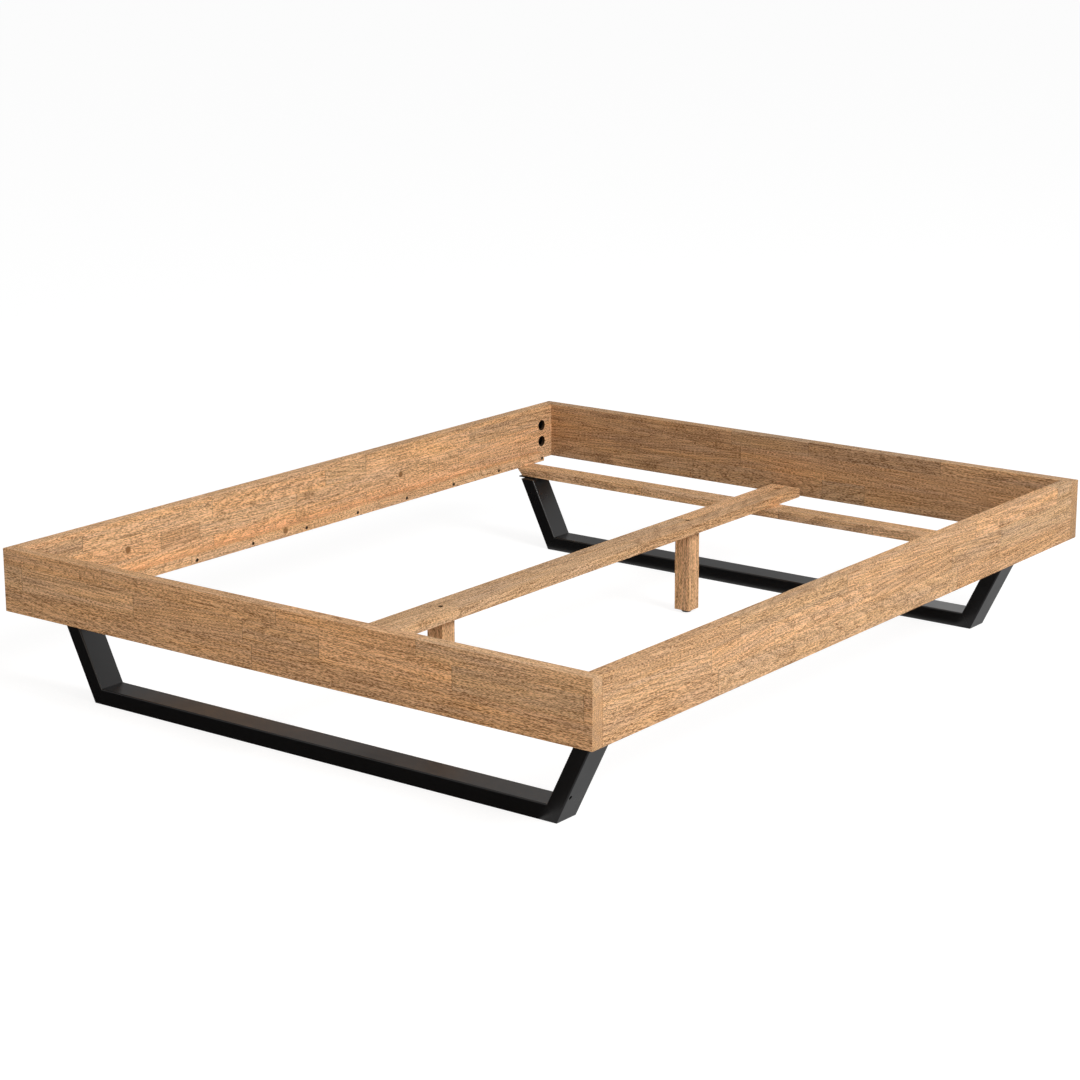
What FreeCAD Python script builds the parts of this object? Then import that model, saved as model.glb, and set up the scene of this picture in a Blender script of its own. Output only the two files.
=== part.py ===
import FreeCAD, Part
import os
import Sketcher

# Bed frame of glued oak boards on two black steel skids.
#
# The origin is the middle of the bed on the floor. +Z is up, +Y points to the head end and +X to
# the right-hand side rail. All sizes are in millimetres and degrees.

SIZES = {
    # the box of boards
    "inner_length": 2010,
    "inner_width": 1600,
    "board_thickness": 34,
    "panel_height": 150,
    "eased_edge": 1.5,
    # ledges and centre beam, which carry the slats at one level
    "seat_height": 25,
    "ledge_width": 25,
    "ledge_end_gap": 67,
    "beam_width": 88,
    "beam_end_gap": 12,
    # wooden cross bars between skid and boards
    "bar_thickness": 23,
    "bar_depth": 64,
    "bar_end_gap": 10,
    "bar_bevel_run": 20,
    "head_bar_inset": 112,
    "foot_bar_inset": 57,
    # skids of rectangular steel tube
    "tube_depth": 70,
    "tube_thickness": 38,
    "tube_wall": 2,
    "tube_corner": 3,
    "skid_half_footprint": 666,
    "leg_rise": 191,
    "leg_lean": 26,
    "leg_cap": 3,
    "skid_setback": 21,
    "vent_diameter": 9,
    "vent_height": 60,
    "vent_edge": 10,
    # steel plates welded on the leg tops
    "plate_thickness": 3,
    "plate_lip": 19,
    "plate_reveal": 4,
    "tab_reach": 30,
    "tab_depth": 48,
    # posts under the centre beam
    "post_side": 45,
    "post_lift": 8,
    "post_spacing": 1000,
    "post_shift": 20,
    # swivelling levelling feet
    "foot_diameter": 25,
    "foot_height": 6,
    "foot_sole": 2,
    "foot_edge": 1.5,
    "collar_diameter": 12,
    "collar_height": 2,
    "levelling_thread": 8,
    "levelling_stud_length": 42,
    "levelling_bore_depth": 60,
    "post_insert_length": 30,
    # corner connectors: stud, half-moon washer and nut in a round pocket of the rail
    "pocket_diameter": 30,
    "pocket_depth": 26,
    "pocket_inset": 46,
    "connector_drop": 54,
    "connector_spacing": 46,
    "stud_diameter": 8,
    "stud_past_nut": 4,
    "stud_bore_clearance": 0.5,
    "nut_across_flats": 13,
    "nut_height": 6.5,
    "washer_chord": 8,
    "washer_height": 18,
    "insert_diameter": 12,
    "insert_length": 20,
    # dowels that locate each corner
    "dowel_diameter": 10,
    "dowel_length": 40,
    "dowel_edge": 27,
    "dowel_chamfer": 1,
    # wood screws
    "screw_diameter": 4.5,
    "screw_head_diameter": 8.5,
    "screw_head_height": 3,
    "screw_grip": 18,
    "screw_sink": 3,
    "ledge_screw_height": 9,
    "ledge_screw_inset": 10,
    "ledge_screw_pitch": 200,
    "beam_screw_spacing": 44,
    "bar_screw_spacing": 32,
    "bar_screw_wood": 6,
    "plate_screw_spacing": 24,
    "post_screw_diameter": 6,
    "post_screw_head_diameter": 12,
    "post_screw_head_height": 4,
    "post_screw_sink": 6,
    "post_screw_grip": 60,
    # clearances
    "fit_gap": 0.05,
    "head_gap": 0.3,
    "blind_gap": 1,
}

doc = FreeCAD.newDocument("SkidBedFrame")
sheet = doc.addObject("Spreadsheet::Sheet", "Sizes")
for row, (alias, size) in enumerate(SIZES.items(), start=1):
    sheet.set(f"A{row}", str(size))
    sheet.setAlias(f"A{row}", alias)
doc.recompute()

# Places that several pieces share, as expressions of the sheet's cells.
UNDERSIDE = "(Sizes.leg_rise + Sizes.plate_thickness + Sizes.bar_thickness)"
BAR_BOTTOM = "(Sizes.leg_rise + Sizes.plate_thickness)"
RAIL_FACE = "(Sizes.inner_width / 2)"
END_FACE = "(Sizes.inner_length / 2)"
BOARD_MIDDLE = f"({RAIL_FACE} + Sizes.board_thickness / 2)"
BAR_HALF = f"({RAIL_FACE} - Sizes.bar_end_gap)"
BAR_Y = {
    "head": f"({END_FACE} - Sizes.head_bar_inset - Sizes.bar_depth / 2)",
    "foot": f"(Sizes.foot_bar_inset + Sizes.bar_depth / 2 - {END_FACE})",
}
BAR_IN_SKID = "(Sizes.skid_setback + Sizes.bar_depth / 2 - Sizes.tube_depth / 2)"
SEAT_OVERLAP_X = f"({RAIL_FACE} - (Sizes.ledge_width + Sizes.bar_end_gap) / 2)"
POST_Y = {
    "head": "(Sizes.post_shift + Sizes.post_spacing / 2)",
    "foot": "(Sizes.post_shift - Sizes.post_spacing / 2)",
}
LOW_CONNECTOR_Z = "(Sizes.panel_height - Sizes.connector_drop - Sizes.connector_spacing)"
HIGH_CONNECTOR_Z = "(Sizes.panel_height - Sizes.connector_drop)"
HIGH_DOWEL_Z = "(Sizes.panel_height - Sizes.dowel_edge)"
PLATE_SCREW_IN_SKID = f"({BAR_IN_SKID} + (Sizes.bar_depth - Sizes.tab_depth) / 2)"

# A leg leans outwards: its outer face runs up from the skid's foot corner.
LEAN = "tan(Sizes.leg_lean)"
TUBE_ACROSS = "(Sizes.tube_thickness / cos(Sizes.leg_lean))"
WALL_ACROSS = "(Sizes.tube_wall / cos(Sizes.leg_lean))"
MITRE_RATE = f"(1 / cos(Sizes.leg_lean) - {LEAN})"
LEG_TOP_OUT = f"(Sizes.skid_half_footprint + Sizes.leg_rise * {LEAN})"
LEG_TOP_IN = f"({LEG_TOP_OUT} - {TUBE_ACROSS})"
PLATE_SCREW_X = f"({LEG_TOP_IN} - Sizes.tab_reach / 2)"

# Ways a piece is turned: ends and sides are the same piece turned half round.
UP = FreeCAD.Rotation()
HALF_TURN = FreeCAD.Rotation(FreeCAD.Vector(0, 0, 1), 180)
END_TURN = {"head": UP, "foot": HALF_TURN}
SIDE_TURN = {"right": UP, "left": HALF_TURN}
SIGN = {"head": "1", "foot": "-1", "right": "1", "left": "-1"}
TO_RIGHT = FreeCAD.Rotation(FreeCAD.Vector(0, 1, 0), 90)
TO_HEAD = FreeCAD.Rotation(FreeCAD.Vector(1, 0, 0), -90)
DOWN = FreeCAD.Rotation(FreeCAD.Vector(1, 0, 0), 180)

pieces = []


def value(expression):
    """The number that an expression of the sheet gives now."""
    return float(sheet.evalExpression(expression))


class Piece:
    """One node: a PartDesign body whose sketches and features are bound to the sheet."""

    def __init__(self, name, x="0", y="0", z="0", turn=UP):
        self.body = doc.addObject("PartDesign::Body", name)
        self.body.Label = name
        self.body.Placement = FreeCAD.Placement(FreeCAD.Vector(), turn)
        for axis, expression in zip("xyz", (x, y, z)):
            self.body.setExpression(f"Placement.Base.{axis}", expression)
        pieces.append(self.body)

    def origin(self, role):
        return next(item for item in self.body.Origin.OriginFeatures if item.Role == role)

    def sketch(self, plane, offset=None):
        """An empty sketch on one of the body's origin planes, or a bound distance off it."""
        sketch = self.body.newObject("Sketcher::SketchObject", f"{self.body.Name}_sketch")
        sketch.AttachmentSupport = [(self.origin(plane), "")]
        sketch.MapMode = "FlatFace"
        if offset:
            sketch.setExpression("AttachmentOffset.Base.z", offset)
        return sketch

    def feature(self, kind, sketch=None):
        feature = self.body.newObject(f"PartDesign::{kind}", f"{self.body.Name}_{kind.lower()}")
        if sketch:
            feature.Profile = sketch
        self.body.Tip = feature
        return feature

    def pad(self, sketch, length, centred=False, reverse=False):
        pad = self.feature("Pad", sketch)
        pad.SideType = "Symmetric" if centred else "One side"
        pad.Reversed = reverse
        pad.setExpression("Length", length)
        return pad

    def pocket(self, sketch, depth=None, centred=False, reverse=False):
        """A cut of the given depth, or through everything."""
        pocket = self.feature("Pocket", sketch)
        pocket.SideType = "Symmetric" if centred else "One side"
        pocket.Reversed = reverse
        if depth:
            pocket.setExpression("Length", depth)
        else:
            pocket.Type = "ThroughAll"
        return pocket

    def revolve(self, sketch):
        turned = self.feature("Revolution", sketch)
        turned.ReferenceAxis = (sketch, ["V_Axis"])
        turned.Angle = 360
        return turned

    def repeat(self, originals, axis, spacing, count, axis2=None, spacing2=None):
        """Copies in a row, or in two rows when a second axis is given."""
        pattern = self.feature("LinearPattern")
        pattern.Originals = originals
        pattern.Direction = (self.origin(axis), [""])
        pattern.Mode = "Spacing"
        pattern.setExpression("Offset", spacing)
        pattern.setExpression("Occurrences", count)
        if axis2:
            pattern.Direction2 = (self.origin(axis2), [""])
            pattern.Mode2 = "Extent"
            pattern.setExpression("Length2", spacing2)
            pattern.Occurrences2 = 2
        return pattern

    def mirror(self, originals, plane):
        mirrored = self.feature("Mirrored")
        mirrored.Originals = originals
        mirrored.MirrorPlane = (self.origin(plane), [""])
        return mirrored

    def ease(self, radius="Sizes.eased_edge", along=None):
        """Rounds every edge of the last feature, or those that run along one axis."""
        doc.recompute()
        base = self.body.Tip
        names = []
        for number, edge in enumerate(base.Shape.Edges, start=1):
            if along is None or abs(edge.tangentAt(edge.FirstParameter).dot(along)) > 0.99:
                names.append(f"Edge{number}")
        fillet = self.feature("Fillet")
        fillet.Base = (base, names)
        fillet.setExpression("Radius", radius)
        return fillet


def distance(sketch, direction, geometry, point, expression, name):
    """Holds one point of a sketch at a bound distance from the sketch's origin."""
    constraint = Sketcher.Constraint(direction, -1, 1, geometry, point, value(expression))
    index = sketch.addConstraint(constraint)
    sketch.renameConstraint(index, name)
    sketch.setExpression(f"Constraints.{name}", expression)


def polygon(sketch, corners):
    """A closed outline whose corners are pairs of expressions."""
    places = [FreeCAD.Vector(value(across), value(up), 0) for across, up in corners]
    first = sketch.GeometryCount
    count = len(corners)
    for index in range(count):
        sketch.addGeometry(Part.LineSegment(places[index], places[(index + 1) % count]), False)
    for index, (across, up) in enumerate(corners):
        line = first + index
        after = first + (index + 1) % count
        sketch.addConstraint(Sketcher.Constraint("Coincident", line, 2, after, 1))
        distance(sketch, "DistanceX", line, 1, across, f"across_{line}")
        distance(sketch, "DistanceY", line, 1, up, f"up_{line}")


def rectangle(sketch, left, bottom, right, top):
    polygon(sketch, [(left, bottom), (right, bottom), (right, top), (left, top)])


def circle(sketch, across, up, diameter):
    centre = FreeCAD.Vector(value(across), value(up), 0)
    radius = value(diameter) / 2
    index = sketch.addGeometry(Part.Circle(centre, FreeCAD.Vector(0, 0, 1), radius), False)
    distance(sketch, "DistanceX", index, 3, across, f"across_{index}")
    distance(sketch, "DistanceY", index, 3, up, f"up_{index}")
    bound = sketch.addConstraint(Sketcher.Constraint("Diameter", index, 2 * radius))
    sketch.renameConstraint(bound, f"diameter_{index}")
    sketch.setExpression(f"Constraints.diameter_{index}", diameter)


def screw_hole(diameter="Sizes.screw_diameter"):
    """Bore for a screw or stud: its own diameter and the running gap."""
    return f"({diameter} + 2 * Sizes.fit_gap)"


def screw(name, grip, x, y, z, turn, head="Sizes.screw_head_diameter",
          head_height="Sizes.screw_head_height", shank="Sizes.screw_diameter"):
    """Countersunk wood screw along its own +Z, its flat head at the body's origin."""
    piece = Piece(name, x, y, z, turn)
    profile = piece.sketch("XZ_Plane")
    tip = f"({grip} - {shank} / 2)"
    polygon(profile, [
        ("0", "0"),
        (f"{head} / 2", "0"),
        (f"{shank} / 2", head_height),
        (f"{shank} / 2", tip),
        ("0", grip),
    ])
    piece.revolve(profile)
    return piece


# ---------------------------------------------------------------- boards of the box

def end_panel(end):
    """Head or foot panel: covers the ends of both rails and takes their studs and dowels."""
    piece = Piece(f"{end}_panel", y=f"{SIGN[end]} * {END_FACE}", z=UNDERSIDE, turn=END_TURN[end])
    half_width = f"({RAIL_FACE} + Sizes.board_thickness)"
    outline = piece.sketch("XZ_Plane")
    rectangle(outline, f"-{half_width}", "0", half_width, "Sizes.panel_height")
    piece.pad(outline, "Sizes.board_thickness", reverse=True)
    piece.ease()

    insert_bores = piece.sketch("XZ_Plane")
    for height in (LOW_CONNECTOR_Z, HIGH_CONNECTOR_Z):
        circle(insert_bores, BOARD_MIDDLE, height, screw_hole("Sizes.insert_diameter"))
    inserts = piece.pocket(insert_bores, "Sizes.insert_length + Sizes.blind_gap")

    dowel_bores = piece.sketch("XZ_Plane")
    for height in ("Sizes.dowel_edge", HIGH_DOWEL_Z):
        circle(dowel_bores, BOARD_MIDDLE, height, screw_hole("Sizes.dowel_diameter"))
    dowels = piece.pocket(dowel_bores, "Sizes.dowel_length / 2 + Sizes.blind_gap")
    piece.mirror([inserts, dowels], "YZ_Plane")


def side_rail(side):
    """Side rail between the end panels, with the connector pockets in its inner face."""
    piece = Piece(f"side_rail_{side}", x=f"{SIGN[side]} * {RAIL_FACE}", z=UNDERSIDE,
                  turn=SIDE_TURN[side])
    outline = piece.sketch("YZ_Plane")
    rectangle(outline, f"-{END_FACE}", "0", END_FACE, "Sizes.panel_height")
    piece.pad(outline, "Sizes.board_thickness")
    piece.ease(along=FreeCAD.Vector(0, 1, 0))

    mouths = piece.sketch("YZ_Plane")
    for height in (LOW_CONNECTOR_Z, HIGH_CONNECTOR_Z):
        circle(mouths, f"({END_FACE} - Sizes.pocket_inset)", height, "Sizes.pocket_diameter")
    pockets = piece.pocket(mouths, "Sizes.pocket_depth", reverse=True)

    stud_bores = piece.sketch("XZ_Plane", offset=f"-{END_FACE}")
    for height in (LOW_CONNECTOR_Z, HIGH_CONNECTOR_Z):
        circle(stud_bores, "Sizes.board_thickness / 2", height,
               "(Sizes.stud_diameter + 2 * Sizes.stud_bore_clearance)")
    studs = piece.pocket(stud_bores, "Sizes.pocket_inset", reverse=True)

    dowel_bores = piece.sketch("XZ_Plane", offset=f"-{END_FACE}")
    for height in ("Sizes.dowel_edge", HIGH_DOWEL_Z):
        circle(dowel_bores, "Sizes.board_thickness / 2", height,
               screw_hole("Sizes.dowel_diameter"))
    dowels = piece.pocket(dowel_bores, "Sizes.dowel_length / 2 + Sizes.blind_gap", reverse=True)
    piece.mirror([pockets, studs, dowels], "XZ_Plane")

    pilot = piece.sketch("YZ_Plane")
    circle(pilot, FIRST_LEDGE_SCREW[side], "Sizes.ledge_screw_height", screw_hole())
    pilots = piece.pocket(pilot, "Sizes.screw_grip + Sizes.blind_gap", reverse=True)
    piece.repeat([pilots], "Y_Axis", "Sizes.ledge_screw_pitch", LEDGE_SCREW_COUNT)


# ---------------------------------------------------------------- slat ledges and their screws

LEDGE_HALF = f"({END_FACE} - Sizes.ledge_end_gap)"
LEDGE_SCREW_STEPS = (f"floor(2 * ({LEDGE_HALF} - Sizes.ledge_screw_inset)"
                     " / Sizes.ledge_screw_pitch)")
LEDGE_SCREW_COUNT = f"({LEDGE_SCREW_STEPS} + 1)"
FIRST_LEDGE_SCREW = {
    "left": f"(Sizes.ledge_screw_inset - {LEDGE_HALF})",
    "right": f"({LEDGE_HALF} - Sizes.ledge_screw_inset"
             f" - Sizes.ledge_screw_pitch * {LEDGE_SCREW_STEPS})",
}
LEDGE_SCREW_GRIP = "(Sizes.ledge_width - Sizes.screw_sink + Sizes.screw_grip)"
HEAD_BORE = "(Sizes.screw_head_diameter + 2 * Sizes.head_gap)"


def slat_ledge(side):
    """Square batten along the rail's foot, with a row of screws counted from the head end."""
    piece = Piece(f"slat_ledge_{side}", x=f"{SIGN[side]} * {RAIL_FACE}", z=UNDERSIDE,
                  turn=SIDE_TURN[side])
    outline = piece.sketch("YZ_Plane")
    rectangle(outline, f"-{LEDGE_HALF}", "0", LEDGE_HALF, "Sizes.seat_height")
    piece.pad(outline, "Sizes.ledge_width", reverse=True)

    shank = piece.sketch("YZ_Plane")
    circle(shank, FIRST_LEDGE_SCREW[side], "Sizes.ledge_screw_height", screw_hole())
    shanks = piece.pocket(shank)
    mouth = piece.sketch("YZ_Plane", offset="-Sizes.ledge_width")
    circle(mouth, FIRST_LEDGE_SCREW[side], "Sizes.ledge_screw_height", HEAD_BORE)
    mouths = piece.pocket(mouth, "Sizes.screw_sink + Sizes.screw_head_height", reverse=True)
    piece.repeat([shanks, mouths], "Y_Axis", "Sizes.ledge_screw_pitch", LEDGE_SCREW_COUNT)

    from_bars = piece.sketch("XY_Plane")
    for end in ("head", "foot"):
        for way in ("-", "+"):
            circle(from_bars, f"({SEAT_OVERLAP_X} - {RAIL_FACE})",
                   f"({SIGN[side]} * ({BAR_Y[end]} {way} Sizes.bar_screw_spacing / 2))",
                   screw_hole())
    piece.pocket(from_bars, "Sizes.screw_grip + Sizes.blind_gap", reverse=True)


def ledge_screws(side):
    turn = SIDE_TURN[side].multiply(TO_RIGHT)
    piece = screw(f"ledge_screws_{side}", LEDGE_SCREW_GRIP,
                  f"{SIGN[side]} * ({RAIL_FACE} - Sizes.ledge_width + Sizes.screw_sink)",
                  f"{SIGN[side]} * {FIRST_LEDGE_SCREW[side]}",
                  f"{UNDERSIDE} + Sizes.ledge_screw_height", turn)
    piece.repeat([piece.body.Tip], "Y_Axis", "Sizes.ledge_screw_pitch", LEDGE_SCREW_COUNT)


# ---------------------------------------------------------------- cross bars and centre beam

BAR_SCREW_SINK = "(Sizes.bar_thickness - Sizes.bar_screw_wood - Sizes.screw_head_height)"


def cross_bar(end):
    """Bar of oak on the skid's plates, bevelled at both ends, that carries ledges and beam."""
    piece = Piece(f"cross_bar_{end}", y=BAR_Y[end], z=BAR_BOTTOM, turn=END_TURN[end])
    outline = piece.sketch("XZ_Plane")
    short_half = f"({BAR_HALF} - Sizes.bar_bevel_run)"
    polygon(outline, [
        (f"-{short_half}", "0"),
        (short_half, "0"),
        (BAR_HALF, "Sizes.bar_thickness"),
        (f"-{BAR_HALF}", "Sizes.bar_thickness"),
    ])
    piece.pad(outline, "Sizes.bar_depth", centred=True)

    shank = piece.sketch("XY_Plane")
    mouth = piece.sketch("XY_Plane")
    for way in ("-", "+"):
        circle(shank, SEAT_OVERLAP_X, f"({way} Sizes.bar_screw_spacing / 2)", screw_hole())
        circle(mouth, SEAT_OVERLAP_X, f"({way} Sizes.bar_screw_spacing / 2)", HEAD_BORE)
    shanks = piece.pocket(shank, reverse=True)
    mouths = piece.pocket(mouth, "Sizes.bar_thickness - Sizes.bar_screw_wood", reverse=True)

    plate_pilot = piece.sketch("XY_Plane")
    for way in ("-", "+"):
        middle = "(Sizes.bar_depth - Sizes.tab_depth) / 2"
        circle(plate_pilot, PLATE_SCREW_X, f"({middle} {way} Sizes.plate_screw_spacing / 2)",
               screw_hole())
    plate_pilots = piece.pocket(plate_pilot, "Sizes.screw_grip + Sizes.blind_gap", reverse=True)

    beam_shank = piece.sketch("XY_Plane")
    circle(beam_shank, "Sizes.beam_screw_spacing / 2", "0", screw_hole())
    beam_shanks = piece.pocket(beam_shank, reverse=True)
    beam_mouth = piece.sketch("XY_Plane")
    circle(beam_mouth, "Sizes.beam_screw_spacing / 2", "0", HEAD_BORE)
    beam_mouths = piece.pocket(beam_mouth, "Sizes.screw_sink + Sizes.screw_head_height",
                               reverse=True)
    piece.mirror([shanks, mouths, plate_pilots, beam_shanks, beam_mouths], "YZ_Plane")


def bar_screws(end):
    """Screws from below through a bar's ends into both ledges."""
    grip = "(Sizes.bar_screw_wood + Sizes.screw_head_height + Sizes.screw_grip)"
    piece = screw(f"bar_screws_{end}", grip, f"-{SEAT_OVERLAP_X}",
                  f"{BAR_Y[end]} - Sizes.bar_screw_spacing / 2",
                  f"{BAR_BOTTOM} + {BAR_SCREW_SINK}", UP)
    piece.repeat([piece.body.Tip], "X_Axis", f"2 * {SEAT_OVERLAP_X}", "2",
                 "Y_Axis", "Sizes.bar_screw_spacing")


def centre_beam():
    """Flat beam along the middle, flush with the ledges, over both bars and both posts."""
    piece = Piece("centre_beam", z=UNDERSIDE)
    half_length = f"({END_FACE} - Sizes.beam_end_gap)"
    outline = piece.sketch("XY_Plane")
    rectangle(outline, "-Sizes.beam_width / 2", f"-{half_length}",
              "Sizes.beam_width / 2", half_length)
    piece.pad(outline, "Sizes.seat_height")

    shanks = piece.sketch("XY_Plane")
    mouths = piece.sketch("XY_Plane", offset="Sizes.seat_height")
    for end in ("head", "foot"):
        circle(shanks, "0", POST_Y[end], screw_hole("Sizes.post_screw_diameter"))
        circle(mouths, "0", POST_Y[end],
               "(Sizes.post_screw_head_diameter + 2 * Sizes.head_gap)")
    piece.pocket(shanks, reverse=True)
    piece.pocket(mouths, "Sizes.post_screw_sink + Sizes.post_screw_head_height")

    from_bars = piece.sketch("XY_Plane")
    for end in ("head", "foot"):
        for way in ("-", "+"):
            circle(from_bars, f"({way} Sizes.beam_screw_spacing / 2)", BAR_Y[end], screw_hole())
    piece.pocket(from_bars, "Sizes.screw_grip + Sizes.blind_gap", reverse=True)


def beam_screws():
    """Screws from below through both bars into the beam."""
    grip = "(Sizes.bar_thickness - Sizes.screw_sink + Sizes.screw_grip)"
    piece = screw("beam_screws", grip, "-Sizes.beam_screw_spacing / 2", BAR_Y["foot"],
                  f"{BAR_BOTTOM} + Sizes.screw_sink", UP)
    piece.repeat([piece.body.Tip], "X_Axis", "Sizes.beam_screw_spacing", "2",
                 "Y_Axis", f"({BAR_Y['head']} - {BAR_Y['foot']})")


# ---------------------------------------------------------------- posts and levelling feet

POST_SCREW_GRIP = "(Sizes.seat_height - Sizes.post_screw_sink + Sizes.post_screw_grip)"
LEVELLING_BORE = "(Sizes.levelling_thread + 2 * Sizes.fit_gap)"


def support_post(end):
    """Square post under the beam, bored at its foot for the threaded insert and the stud."""
    piece = Piece(f"support_post_{end}", y=POST_Y[end], z="Sizes.post_lift")
    height = f"({UNDERSIDE} - Sizes.post_lift)"
    outline = piece.sketch("XY_Plane")
    rectangle(outline, "-Sizes.post_side / 2", "-Sizes.post_side / 2",
              "Sizes.post_side / 2", "Sizes.post_side / 2")
    piece.pad(outline, height)
    piece.ease(along=FreeCAD.Vector(0, 0, 1))

    insert_bore = piece.sketch("XY_Plane")
    circle(insert_bore, "0", "0", screw_hole("Sizes.insert_diameter"))
    piece.pocket(insert_bore, "Sizes.post_insert_length", reverse=True)
    stud_bore = piece.sketch("XY_Plane")
    circle(stud_bore, "0", "0",
           "(Sizes.levelling_thread + 2 * Sizes.stud_bore_clearance)")
    piece.pocket(stud_bore, "Sizes.levelling_bore_depth", reverse=True)
    pilot = piece.sketch("XY_Plane", offset=height)
    circle(pilot, "0", "0", screw_hole("Sizes.post_screw_diameter"))
    piece.pocket(pilot, "Sizes.post_screw_grip + Sizes.blind_gap")


def post_screws():
    """Large screws from the beam's top into the end grain of the posts."""
    piece = screw("post_screws", POST_SCREW_GRIP, "0", POST_Y["head"],
                  f"{UNDERSIDE} + Sizes.seat_height - Sizes.post_screw_sink", DOWN,
                  head="Sizes.post_screw_head_diameter",
                  head_height="Sizes.post_screw_head_height",
                  shank="Sizes.post_screw_diameter")
    piece.repeat([piece.body.Tip], "Y_Axis", "Sizes.post_spacing", "2")


def sleeve(piece, outer, bore, length):
    """Threaded insert, drawn as a plain sleeve."""
    ring = piece.sketch("XY_Plane")
    circle(ring, "0", "0", outer)
    circle(ring, "0", "0", bore)
    piece.pad(ring, length)


def levelling_foot(end):
    """Insert in the post, stud that screws in it, and base that swivels on the stud's collar."""
    insert = Piece(f"post_insert_{end}", y=POST_Y[end], z="Sizes.post_lift")
    sleeve(insert, "Sizes.insert_diameter", LEVELLING_BORE, "Sizes.post_insert_length")

    stud = Piece(f"levelling_stud_{end}", y=POST_Y[end], z="Sizes.foot_sole + Sizes.fit_gap")
    profile = stud.sketch("XZ_Plane")
    polygon(profile, [
        ("0", "0"),
        ("Sizes.collar_diameter / 2", "0"),
        ("Sizes.collar_diameter / 2", "Sizes.collar_height"),
        ("Sizes.levelling_thread / 2", "Sizes.collar_height"),
        ("Sizes.levelling_thread / 2", "Sizes.levelling_stud_length"),
        ("0", "Sizes.levelling_stud_length"),
    ])
    stud.revolve(profile)

    base = Piece(f"levelling_base_{end}", y=POST_Y[end])
    profile = base.sketch("XZ_Plane")
    socket = "(Sizes.collar_diameter / 2 + Sizes.head_gap)"
    socket_top = "(Sizes.foot_sole + Sizes.collar_height + 2 * Sizes.fit_gap)"
    polygon(profile, [
        ("0", "0"),
        ("Sizes.foot_diameter / 2 - Sizes.foot_edge", "0"),
        ("Sizes.foot_diameter / 2", "Sizes.foot_edge"),
        ("Sizes.foot_diameter / 2", "Sizes.foot_height"),
        (f"{LEVELLING_BORE} / 2", "Sizes.foot_height"),
        (f"{LEVELLING_BORE} / 2", socket_top),
        (socket, socket_top),
        (socket, "Sizes.foot_sole"),
        ("0", "Sizes.foot_sole"),
    ])
    base.revolve(profile)


# ---------------------------------------------------------------- steel skids

def mitre_x(height):
    """Half-width of the mitre plane at a height, measured on the right-hand corner."""
    return f"(Sizes.skid_half_footprint - {height} * {MITRE_RATE})"


def skid_place(end):
    """Position and turn of a skid's own frame, which lies in the middle of its tube."""
    return {"y": f"{BAR_Y[end]} - {SIGN[end]} * {BAR_IN_SKID}", "turn": END_TURN[end]}


def skid_bar(end):
    """Floor tube of a skid, mitred at both ends and open there to the legs."""
    piece = Piece(f"skid_bar_{end}", **skid_place(end))
    for low, high, cut in (("0", "Sizes.tube_thickness", False),
                           ("Sizes.tube_wall", "(Sizes.tube_thickness - Sizes.tube_wall)", True)):
        outline = piece.sketch("XZ_Plane")
        polygon(outline, [
            (f"-{mitre_x(low)}", low),
            (mitre_x(low), low),
            (mitre_x(high), high),
            (f"-{mitre_x(high)}", high),
        ])
        if cut:
            piece.pocket(outline, "Sizes.tube_depth - 2 * Sizes.tube_wall", centred=True)
        else:
            piece.pad(outline, "Sizes.tube_depth", centred=True)
            piece.ease("Sizes.tube_corner", along=FreeCAD.Vector(1, 0, 0))


def skid_leg(end, side, way, vented):
    """Leaning leg of a skid, mitred to the floor tube and closed at its top.

    way is + or -, the side of the skid's own frame that the leg stands on.
    """
    piece = Piece(f"skid_leg_{end}_{side}", **skid_place(end))
    top = {False: "Sizes.leg_rise", True: "(Sizes.leg_rise - Sizes.leg_cap)"}
    low = {False: "0", True: "Sizes.tube_wall"}
    high = {False: "Sizes.tube_thickness", True: "(Sizes.tube_thickness - Sizes.tube_wall)"}
    wall = {False: "0", True: WALL_ACROSS}
    for cut in (False, True):
        outer_top = f"(Sizes.skid_half_footprint + {top[cut]} * {LEAN} - {wall[cut]})"
        inner_top = f"({outer_top} - {TUBE_ACROSS} + 2 * {wall[cut]})"
        outline = piece.sketch("XZ_Plane")
        polygon(outline, [
            (f"({way} {mitre_x(low[cut])})", low[cut]),
            (f"({way} {outer_top})", top[cut]),
            (f"({way} {inner_top})", top[cut]),
            (f"({way} {mitre_x(high[cut])})", high[cut]),
        ])
        if cut:
            piece.pocket(outline, "Sizes.tube_depth - 2 * Sizes.tube_wall", centred=True)
        else:
            piece.pad(outline, "Sizes.tube_depth", centred=True)
            run = value(f"({way} {LEAN})")
            piece.ease("Sizes.tube_corner", along=FreeCAD.Vector(run, 0, 1).normalize())
    if vented:
        middle = f"(Sizes.skid_half_footprint + Sizes.vent_height * {LEAN} - {TUBE_ACROSS} / 2)"
        vent = piece.sketch("YZ_Plane", offset=f"({way} {middle})")
        circle(vent, "(Sizes.tube_depth / 2 - Sizes.vent_edge)", "Sizes.vent_height",
               "Sizes.vent_diameter")
        piece.pocket(vent, reverse=way == "+")


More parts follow.
